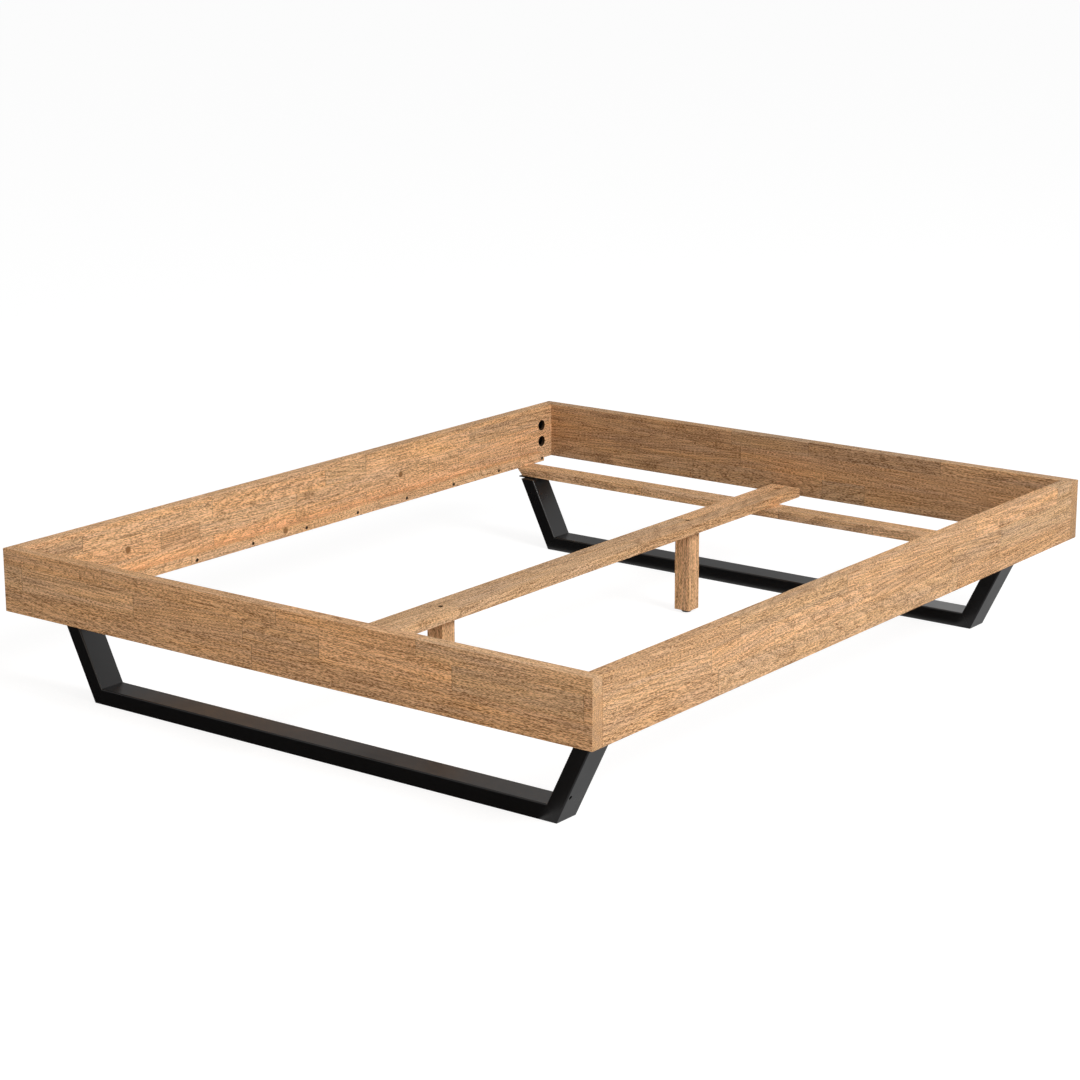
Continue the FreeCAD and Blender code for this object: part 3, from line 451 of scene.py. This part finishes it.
# %% Boards
BOARDS = {
    "foot_panel": ((-834, -1039, 367), (1, 0, 0), (0, 0, -1), (
        (38, (322, 843, 1226, 1668)),
        (91, (60, 417, 745, 962, 1319, 1647, 1668)),
        (150, (770, 1668)),
    )),
    "head_panel": ((-800, 1005, 367), (1, 0, 0), (0, 0, -1), (
        (38, (249, 616, 861, 1260, 1634)),
        (96, (645, 1634)),
        (150, (490, 906, 1036, 1634)),
    )),
    "side_rail_right": ((834, -1039, 367), (0, 1, 0), (0, 0, -1), (
        (42, (522, 952, 1542, 1967, 2078)),
        (92, (414, 658, 1061, 1430, 1672, 2078)),
        (150, (442, 1458, 2078)),
    )),
    "side_rail_left": ((-800, 1005, 367), (0, -1, 0), (0, 0, -1), (
        (12, (813, 1392, 2010)),
        (54, (374, 813, 972, 1392, 1829, 2010)),
        (98, (425, 554, 1086, 1439, 1573, 2010)),
        (150, (374, 813, 1086, 1392, 2010)),
    )),
}
KNOTS = {"side_rail_left": ((672, 80), (1684, 75))}
for name, (corner, grain_way, across_way, rows) in BOARDS.items():
    bm = merged_copy(name)
    staves(bm, name, corner, grain_way, across_way, rows, KNOTS.get(name, ()))
    paint_hole_shade(bm)
    print(name, len(bm.faces), "faces after the cuts")
    finish_piece(bm, f"oak_{name}", "bed", oak, [name])

# %% [markdown]
# ## Ledges, cross bars, beam and posts
#
# These sticks are sawn from the same oak. Their edges are only broken by hand, so a narrow bevel is
# enough to let them catch the light; the posts get none here. The bevel comes before the cuts, while
# each edge is still one.

# %% Sticks
STICKS = {
    "slat_ledge_left": ((-775, 938, 242), (0, -1, 0), (0, 0, -1), ((25, (415, 720, 1430, 1876)),)),
    "slat_ledge_right": ((775, 938, 242), (0, -1, 0), (0, 0, -1), ((25, (510, 980, 1390, 1876)),)),
    "centre_beam": ((-44, 993, 242), (0, -1, 0), (1, 0, 0), (
        (44, (470, 1120, 1500, 1986)),
        (88, (742, 1454, 1986)),
    )),
    "cross_bar_head": ((-790, 829, 217), (1, 0, 0), (0, 1, 0), ((64, (430, 870, 1156, 1580)),)),
    "cross_bar_foot": ((-790, -948, 217), (1, 0, 0), (0, 1, 0), ((64, (610, 1010, 1580)),)),
    "support_post_head": ((22.5, 497.5, 217), (0, 0, -1), (-1, 0, 0), ((45, (209,)),)),
    "support_post_foot": ((22.5, -502.5, 217), (0, 0, -1), (-1, 0, 0), ((45, (209,)),)),
}
STICK_KNOTS = {"centre_beam": ((42, 42),), "slat_ledge_left": ((1090, 8),)}
for name, (corner, grain_way, across_way, rows) in STICKS.items():
    bm = merged_copy(name)
    if not name.startswith("support_post"):
        ease_box_edges(bm, 1 * MM)
    staves(bm, name, corner, grain_way, across_way, rows, STICK_KNOTS.get(name, ()))
    paint_hole_shade(bm)
    print(name, len(bm.faces), "faces after the cuts")
    finish_piece(bm, f"oak_{name}", "bed", oak, [name])

# %% [markdown]
# ## Black powder coat
#
# The skids are welded from rectangular steel tube and powder-coated in satin black. Powder melts to a
# skin with a slight orange peel, 1 to 2 mm from bump to bump, drawn coarser here. The coat is
# nearly black by itself, and what is seen of it is mostly reflection, so it shows on faces that
# are seen at a low angle.

# %% Material: powder coat
coat, tree, output = new_material("satin_black_powder_coat")
place = add(tree, "ShaderNodeTexCoord")
cloud = add(tree, "ShaderNodeTexNoise",
            {"Vector": place.outputs["Object"], "Scale": 1 / (60 * MM), "Detail": 3})
shade = add(tree, "ShaderNodeMix",
            {0: cloud.outputs[0], 6: (*linear("#070707"), 1), 7: (*linear("#131112"), 1)},
            data_type="RGBA")
gloss = add(tree, "ShaderNodeMapRange",
            {"Value": cloud.outputs[0], "To Min": 0.36, "To Max": 0.24})
peel = add(tree, "ShaderNodeTexNoise",
           {"Vector": place.outputs["Object"], "Scale": 1 / (4 * MM), "Detail": 1})
bump = add(tree, "ShaderNodeBump",
           {"Height": peel.outputs[0], "Strength": 0.25, "Distance": 0.15 * MM})
surface = add(tree, "ShaderNodeBsdfPrincipled",
              {"Base Color": shade.outputs[2], "Roughness": gloss.outputs[0], "IOR": 1.45,
               "Normal": bump.outputs[0]})
tree.links.new(surface.outputs[0], output.inputs[0])
print(coat.name, len(tree.nodes), "nodes")

# %% [markdown]
# ## Skids
#
# The tubes have rounded corners and are mitred where the floor bar meets a leg. The welds there are
# ground flush, which leaves a fine line: a narrow bevel round the mitred ends draws it.

# %% Skid tubes and plates
MITRE_GROOVE = 0.4 * MM


def soften(bm, width, sharper_than=50, segments=1):
    """Bevels each outward edge that is sharper than an angle in degrees."""
    sharp = [edge for edge in bm.edges
             if len(edge.link_faces) == 2 and edge.is_convex
             and edge.calc_face_angle() > math.radians(sharper_than)]
    bmesh.ops.bevel(bm, geom=sharp, offset=width, affect="EDGES", segments=segments, profile=0.5,
                    material=-1, clamp_overlap=True)


TUBES = [f"skid_bar_{end}" for end in ("head", "foot")]
TUBES += [f"skid_leg_{end}_{side}" for end in ("head", "foot") for side in ("left", "right")]
for name in TUBES:
    bm = merged_copy(name)
    soften(bm, MITRE_GROOVE)
    print(name, len(bm.faces), "faces")
    finish_piece(bm, f"steel_{name}", "bed", coat, [name])

for end in ("head", "foot"):
    for side in ("left", "right"):
        name = f"skid_plate_{end}_{side}"
        bm = merged_copy(name)
        soften(bm, MITRE_GROOVE)
        finish_piece(bm, f"steel_{name}", "bed", coat, [name])

# %% [markdown]
# ## Small hardware
#
# Studs and inserts are bright zinc-plated steel, which looks blue-white. Nuts and half-moon washers
# have a black passivated zinc plate, wood screws are black phosphated and matt, the bases of the
# levelling feet are moulded plastic and the dowels are beech.

# %% Materials: hardware
zinc, tree, output = new_material("bright_zinc_plated_steel")
place = add(tree, "ShaderNodeTexCoord")
cloud = add(tree, "ShaderNodeTexNoise",
            {"Vector": place.outputs["Object"], "Scale": 1 / (5 * MM), "Detail": 2})
shade = add(tree, "ShaderNodeMix",
            {0: cloud.outputs[0], 6: (*linear("#a9adb2"), 1), 7: (*linear("#cfd0cd"), 1)},
            data_type="RGBA")
gloss = add(tree, "ShaderNodeMapRange",
            {"Value": cloud.outputs[0], "To Min": 0.25, "To Max": 0.45})
surface = add(tree, "ShaderNodeBsdfPrincipled",
              {"Base Color": shade.outputs[2], "Roughness": gloss.outputs[0], "Metallic": 1})
tree.links.new(surface.outputs[0], output.inputs[0])

phosphate, tree, output = new_material("black_phosphated_steel")
place = add(tree, "ShaderNodeTexCoord")
cloud = add(tree, "ShaderNodeTexNoise",
            {"Vector": place.outputs["Object"], "Scale": 1 / (2 * MM), "Detail": 2})
shade = add(tree, "ShaderNodeMix",
            {0: cloud.outputs[0], 6: (*linear("#1d1a18"), 1), 7: (*linear("#332f2c"), 1)},
            data_type="RGBA")
gloss = add(tree, "ShaderNodeMapRange",
            {"Value": cloud.outputs[0], "To Min": 0.45, "To Max": 0.62})
surface = add(tree, "ShaderNodeBsdfPrincipled",
              {"Base Color": shade.outputs[2], "Roughness": gloss.outputs[0], "IOR": 1.45})
tree.links.new(surface.outputs[0], output.inputs[0])

black_zinc, tree, output = new_material("black_passivated_zinc_plate")
place = add(tree, "ShaderNodeTexCoord")
cloud = add(tree, "ShaderNodeTexNoise",
            {"Vector": place.outputs["Object"], "Scale": 1 / (3 * MM), "Detail": 2})
shade = add(tree, "ShaderNodeMix",
            {0: cloud.outputs[0], 6: (*linear("#17171a"), 1), 7: (*linear("#2b2b2e"), 1)},
            data_type="RGBA")
gloss = add(tree, "ShaderNodeMapRange",
            {"Value": cloud.outputs[0], "To Min": 0.35, "To Max": 0.5})
surface = add(tree, "ShaderNodeBsdfPrincipled",
              {"Base Color": shade.outputs[2], "Roughness": gloss.outputs[0], "Metallic": 1})
tree.links.new(surface.outputs[0], output.inputs[0])

plastic, tree, output = new_material("moulded_grey_polypropylene")
place = add(tree, "ShaderNodeTexCoord")
grit = add(tree, "ShaderNodeTexNoise",
           {"Vector": place.outputs["Object"], "Scale": 1 / (1.5 * MM), "Detail": 2})
shade = add(tree, "ShaderNodeMix",
            {0: grit.outputs[0], 6: (*linear("#38383a"), 1), 7: (*linear("#4b4b4d"), 1)},
            data_type="RGBA")
bump = add(tree, "ShaderNodeBump",
           {"Height": grit.outputs[0], "Strength": 0.3, "Distance": 0.08 * MM})
surface = add(tree, "ShaderNodeBsdfPrincipled",
              {"Base Color": shade.outputs[2], "Roughness": 0.55, "IOR": 1.49,
               "Normal": bump.outputs[0]})
tree.links.new(surface.outputs[0], output.inputs[0])

beech, tree, output = new_material("raw_fluted_beech")
place = add(tree, "ShaderNodeTexCoord")
stretched = add(tree, "ShaderNodeMapping", {0: place.outputs["Object"], "Scale": (1, 0.05, 1)})
fleck = add(tree, "ShaderNodeTexNoise",
            {"Vector": stretched.outputs[0], "Scale": 1 / (1.2 * MM), "Detail": 2})
shade = add(tree, "ShaderNodeMix",
            {0: fleck.outputs[0], 6: (*linear("#b98f66"), 1), 7: (*linear("#d6b28a"), 1)},
            data_type="RGBA")
bump = add(tree, "ShaderNodeBump",
           {"Height": fleck.outputs[0], "Strength": 0.4, "Distance": 0.1 * MM})
surface = add(tree, "ShaderNodeBsdfPrincipled",
              {"Base Color": shade.outputs[2], "Roughness": 0.7, "Normal": bump.outputs[0]})
tree.links.new(surface.outputs[0], output.inputs[0])

FINISHES = {
    "corner_dowels": beech,
    "panel_inserts": zinc,
    "post_insert": zinc,
}
for name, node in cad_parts.items():
    for start, material in FINISHES.items():
        if name.startswith(start):
            node.data.materials.clear()
            node.data.materials.append(material)
            break
print("hardware finishes:", zinc.name, phosphate.name, plastic.name, beech.name)

# %% [markdown]
# ## Turned and threaded shapes
#
# Screws and studs are turned: a profile is spun round an axis. A thread is rolled into the blank,
# and here it's a three-cornered ridge that is spun while it climbs one pitch a turn. Each kind is
# modelled once at the origin, head up, and copied to where the CAD node has its solids.

# %% Turning and threading
def solids_of(name):
    """The low and high corners of each separate solid of a CAD node."""
    bm = merged_copy(name)
    left = set(bm.verts)
    boxes = []
    while left:
        reached = [left.pop()]
        for vert in reached:
            for edge in vert.link_edges:
                other = edge.other_vert(vert)
                if other in left:
                    left.remove(other)
                    reached.append(other)
        boxes.append([Vector([pick(vert.co[axis] for vert in reached) for axis in range(3)])
                      for pick in (min, max)])
    bm.free()
    return sorted(boxes, key=lambda box: tuple(box[0]))


def turn_profile(bm, points, steps):
    """Spins a profile of (radius, height) points in millimetres round Z."""
    verts = [bm.verts.new((radius * MM, 0, height * MM)) for radius, height in points]
    edges = [bm.edges.new(ends) for ends in zip(verts, verts[1:])]
    bmesh.ops.spin(bm, geom=verts + edges, cent=(0, 0, 0), axis=(0, 0, 1), angle=math.tau,
                   steps=steps, use_merge=True)
    bmesh.ops.remove_doubles(bm, verts=bm.verts, dist=MERGE)


def add_thread(bm, root, crest, pitch, bottom, top, steps=16):
    """Winds a ridge round Z between two heights in millimetres, a little sunk into the core."""
    corners = [bm.verts.new((radius * MM, 0, (bottom + rise * pitch) * MM))
               for radius, rise in ((root - 0.1, 0), (crest, 0.42), (root - 0.1, 0.84))]
    ridge = bm.faces.new(corners)
    count = int((top - bottom - pitch) / pitch * steps)
    bmesh.ops.spin(bm, geom=[ridge, *ridge.edges, *corners], cent=(0, 0, 0), axis=(0, 0, 1),
                   dvec=(0, 0, pitch / steps * MM), angle=math.tau * count / steps, steps=count)


def sink_recess(bm, rim, reach, depth):
    """Presses a six-lobed recess into the flat end whose rim has this radius."""
    edges = [edge for edge in bm.edges if edge.is_boundary]
    top = bmesh.ops.edgeloop_fill(bm, edges=edges)["faces"][0]
    bmesh.ops.inset_region(bm, faces=[top], thickness=(rim - reach) * MM)
    for vert in top.verts:
        lobe = 0.86 + 0.14 * math.cos(6 * math.atan2(vert.co.y, vert.co.x))
        vert.co.x *= lobe
        vert.co.y *= lobe
    bottom = bmesh.ops.extrude_discrete_faces(bm, faces=[top])["faces"][0]
    bmesh.ops.translate(bm, verts=bottom.verts, vec=(0, 0, -depth * MM))


def copies(shape, boxes, way):
    """A bmesh with the shape at the end of each box that way points to."""
    pattern = bpy.data.meshes.new("pattern")
    bmesh.ops.recalc_face_normals(shape, faces=shape.faces)
    shape.to_mesh(pattern)
    shape.free()
    way = Vector(way)
    turn = way.to_track_quat("Z", "Y").to_matrix().to_4x4()
    bm = bmesh.new()
    for low, high in boxes:
        start = len(bm.verts)
        bm.from_mesh(pattern)
        bm.verts.ensure_lookup_table()
        end = (low + high) / 2 + way * abs((high - low).dot(way)) / 2
        bmesh.ops.transform(bm, verts=bm.verts[start:], matrix=Matrix.Translation(end) @ turn)
    bpy.data.meshes.remove(pattern)
    return bm


print("ledge screws found:", len(solids_of("ledge_screws_left")))

# %% [markdown]
# ## Wood screws
#
# Sunk screws with six-lobed recesses hold the ledges, bars and beam; from above they're the small
# dark dots in the wood. Pan heads hold the skid plates, because thin steel can't be countersunk. The
# upper part of a wood screw has no thread, so that it draws the boards together.

# %% Screws
UP, DOWN, FROM_LEFT, FROM_RIGHT = (0, 0, 1), (0, 0, -1), (-1, 0, 0), (1, 0, 0)
SCREWS = {
    "ledge_screws_left": (FROM_RIGHT, 4.25, 2.25, 3), "ledge_screws_right": (FROM_LEFT, 4.25, 2.25, 3),
    "bar_screws_head": (DOWN, 4.25, 2.25, 3), "bar_screws_foot": (DOWN, 4.25, 2.25, 3),
    "beam_screws": (DOWN, 4.25, 2.25, 3), "post_screws": (UP, 6, 3, 4),
    "plate_screws_head": (DOWN, 4.25, 2.25, 3), "plate_screws_foot": (DOWN, 4.25, 2.25, 3),
}
for name, (way, head, crest, head_height) in SCREWS.items():
    boxes = solids_of(name)
    length = max(boxes[0][1] - boxes[0][0]) / MM
    core = 0.7 * crest
    if name.startswith("plate"):
        crown = [(head, -head_height), (head, -1.3), (0.85 * head, -0.4), (0.62 * head, 0)]
    else:
        crown = [(0.975 * head, -0.16), (0.95 * head, 0)]
    bm = bmesh.new()
    turn_profile(bm, [(0, -length), (core, -length + 1.4 * crest), (core, -head_height), *crown], 36)
    sink_recess(bm, crown[-1][0], 0.46 * head, 0.62 * head_height)
    add_thread(bm, core, crest, 0.48 * 2 * crest, -length + 1.2 * crest, -0.4 * length)
    bm = copies(bm, boxes, way)
    print(name, "has", len(boxes), "screws and", len(bm.faces), "faces")
    finish_piece(bm, f"dark_{name}", "bed", phosphate, [name], crisp=35)

# %% [markdown]
# ## Studs, nuts and levelling feet
#
# The corner studs are lengths of metric threaded rod, 8 mm wide with a pitch of 1.25 mm, and so are
# the studs of the levelling feet, which end in a collar that the base swivels on. Nuts are pressed
# with their corners chamfered, half-moon washers are cast, and the bases are moulded, so these
# three keep the CAD shape with softened edges.

# %% Studs, nuts, washers and bases
STUD_ROOT, STUD_CREST, STUD_PITCH = 3.25, 4, 1.25
for end in ("head", "foot"):
    boxes = solids_of(f"corner_studs_{end}")
    length = max(boxes[0][1] - boxes[0][0]) / MM
    bm = bmesh.new()
    turn_profile(bm, [(0, -length), (2.8, -length), (STUD_ROOT, -length + 0.5), (STUD_ROOT, -2.6),
                      (3, -1.5), (2.4, -0.7), (1.4, -0.2), (0, 0)], 24)
    add_thread(bm, STUD_ROOT, STUD_CREST, STUD_PITCH, -length + 0.4, -2.2)
    bm = copies(bm, boxes, (0, -1, 0) if end == "head" else (0, 1, 0))
    print("corner studs:", len(bm.faces), "faces")
    finish_piece(bm, f"zinc_corner_studs_{end}", "bed", zinc,
                 [f"corner_studs_{end}"], crisp=35)

    name = f"levelling_stud_{end}"
    (box,) = solids_of(name)
    length = (box[1].z - box[0].z) / MM
    bm = bmesh.new()
    turn_profile(bm, [(0, -length), (5.7, -length), (6, -length + 0.3), (6, -length + 1.7),
                      (5.7, -length + 2), (STUD_ROOT, -length + 2), (STUD_ROOT, -0.5), (2.8, 0),
                      (0, 0)], 24)
    add_thread(bm, STUD_ROOT, STUD_CREST, STUD_PITCH, -length + 2.3, -0.2)
    bm = copies(bm, [box], UP)
    finish_piece(bm, f"zinc_{name}", f"foot_stud_{end}", zinc, [name], crisp=35)

    name = f"levelling_base_{end}"
    bm = merged_copy(name)
    soften(bm, 0.9 * MM, segments=3)
    finish_piece(bm, f"moulded_{name}", f"foot_base_{end}", plastic, [name])

    for name in (f"corner_nuts_{end}", f"corner_washers_{end}"):
        bm = merged_copy(name)
        soften(bm, 0.4 * MM)
        finish_piece(bm, f"black_{name}", "bed", black_zinc, [name])
        print(name, "softened")

# %% [markdown]
# ## Floor and light
#
# The bed stands on a plain white floor in a white room. The camera sees both at full white, and the
# bed only gets a plain level of soft light from them. One large lamp stands far off at the right, so
# the right-hand rail is brightest and the foot panel lies in half shade. A weak warm lamp in front
# stands for light that comes back from a room. The floor adds its light from below, as a real one
# does, and keeps a faint shadow.

# %% Room
AMBIENT = 0.40
FLOOR_GLOW = 0.85

world = bpy.data.worlds.new("white_room")
bpy.context.scene.world = world
world.use_nodes = True
world.node_tree.nodes.clear()
tree = world.node_tree
ray = add(tree, "ShaderNodeLightPath")
seen = add(tree, "ShaderNodeMath",
           {0: ray.outputs["Is Camera Ray"], 1: ray.outputs["Is Glossy Ray"]}, operation="MAXIMUM")
seen = add(tree, "ShaderNodeMath",
           {0: seen.outputs[0], 1: ray.outputs["Is Transmission Ray"]}, operation="MAXIMUM")
strength = add(tree, "ShaderNodeMapRange",
               {"Value": seen.outputs[0], "To Min": AMBIENT, "To Max": 1})
background = add(tree, "ShaderNodeBackground",
                 {"Color": (1, 1, 1, 1), "Strength": strength.outputs[0]})
room_output = add(tree, "ShaderNodeOutputWorld", {0: background.outputs[0]})

floor_finish, tree, output = new_material("white_studio_floor")
ray = add(tree, "ShaderNodeLightPath")
seen = add(tree, "ShaderNodeMath",
           {0: ray.outputs["Is Camera Ray"], 1: ray.outputs["Is Glossy Ray"]}, operation="MAXIMUM")
seen = add(tree, "ShaderNodeMath",
           {0: seen.outputs[0], 1: ray.outputs["Is Transmission Ray"]}, operation="MAXIMUM")
lit = add(tree, "ShaderNodeBsdfDiffuse", {"Color": (0.7, 0.7, 0.7, 1)})
faint = add(tree, "ShaderNodeBsdfDiffuse", {"Color": (0.3, 0.3, 0.3, 1)})
glow = add(tree, "ShaderNodeEmission", {"Color": (1, 1, 1, 1), "Strength": FLOOR_GLOW})
white = add(tree, "ShaderNodeAddShader", {0: faint.outputs[0], 1: glow.outputs[0]})
shown = add(tree, "ShaderNodeMixShader",
            {0: seen.outputs[0], 1: lit.outputs[0], 2: white.outputs[0]})
tree.links.new(shown.outputs[0], output.inputs[0])

bm = bmesh.new()
bmesh.ops.create_grid(bm, x_segments=1, y_segments=1, size=40)
mesh = bpy.data.meshes.new("floor")
bm.to_mesh(mesh)
bm.free()
mesh.materials.append(floor_finish)
floor = bpy.data.objects.new("floor", mesh)
bpy.context.scene.collection.objects.link(floor)

LAMPS = {
    "window": ("#ffffff", (0.455, -0.05, 0.38), 9, 4, 0.595),
    "warm_bounce": ("#ffd7a2", (0.1, -1, 0.25), 3.4, 1.5, 0.063),
}
for name, (colour, way, distance, size, level) in LAMPS.items():
    way = Vector(way).normalized()
    light = bpy.data.lights.new(name, "AREA")
    light.shape = "DISK"
    light.size = size
    light.color = linear(colour)
    light.energy = level * math.pi ** 2 * distance ** 2
    lamp = bpy.data.objects.new(name, light)
    bpy.context.scene.collection.objects.link(lamp)
    lamp.matrix_world = (Matrix.Translation(way * distance)
                         @ way.to_track_quat("Z", "Y").to_matrix().to_4x4())
    print(name, "of", round(light.energy), "W")

# %% [markdown]
# ## Cards
#
# A white room is mirrored in every glossy face, so black tube would look grey. Photographers keep its
# fronts black with cards that only the reflections see. Here the cards are glowing sheets that paint
# those reflections: a dark one lies on the floor before the skids, a light grey one lies at the right
# and a grey one stands at the left. The camera doesn't see them; they cast no shadow and take no
# light from the bed.

# %% Cards
CARDS = {
    "floor_card": ("#292929", ((-2.6, 0.62), (-2.8, 0.79), (0.0005, 0.0005))),
    "side_card": ("#c8c8c8", ((0.63, 5), (-3, 4), (0.0005, 0.0005))),
    "left_card": ("#9a9a9a", ((-3.2, -3.2), (-3, 7), (0.001, 3.2))),
}
for name, (shade, spans) in CARDS.items():
    card_finish, tree, output = new_material(f"{name}_paint")
    # Painted reflection: each card glows with its shade and is seen only in glossy reflections.
    reflection_glow = add(tree, "ShaderNodeEmission", {"Color": (*linear(shade), 1), "Strength": 1})
    tree.links.new(reflection_glow.outputs[0], output.inputs[0])
    low, high = (Vector([span[side] for span in spans]) for side in (0, 1))
    bm = bmesh.new()
    bmesh.ops.create_grid(bm, x_segments=1, y_segments=1, size=0.5)
    if low.x == high.x:
        bmesh.ops.rotate(bm, verts=bm.verts, matrix=Matrix.Rotation(math.radians(90), 3, "Y"))
    bmesh.ops.scale(bm, verts=bm.verts, vec=high - low)
    bmesh.ops.translate(bm, verts=bm.verts, vec=(low + high) / 2)
    mesh = bpy.data.meshes.new(name)
    bm.to_mesh(mesh)
    bm.free()
    mesh.materials.append(card_finish)
    card = bpy.data.objects.new(name, mesh)
    bpy.context.scene.collection.objects.link(card)
    card.visible_camera = False
    card.visible_diffuse = False
    card.visible_shadow = False
print(len(CARDS), "cards")
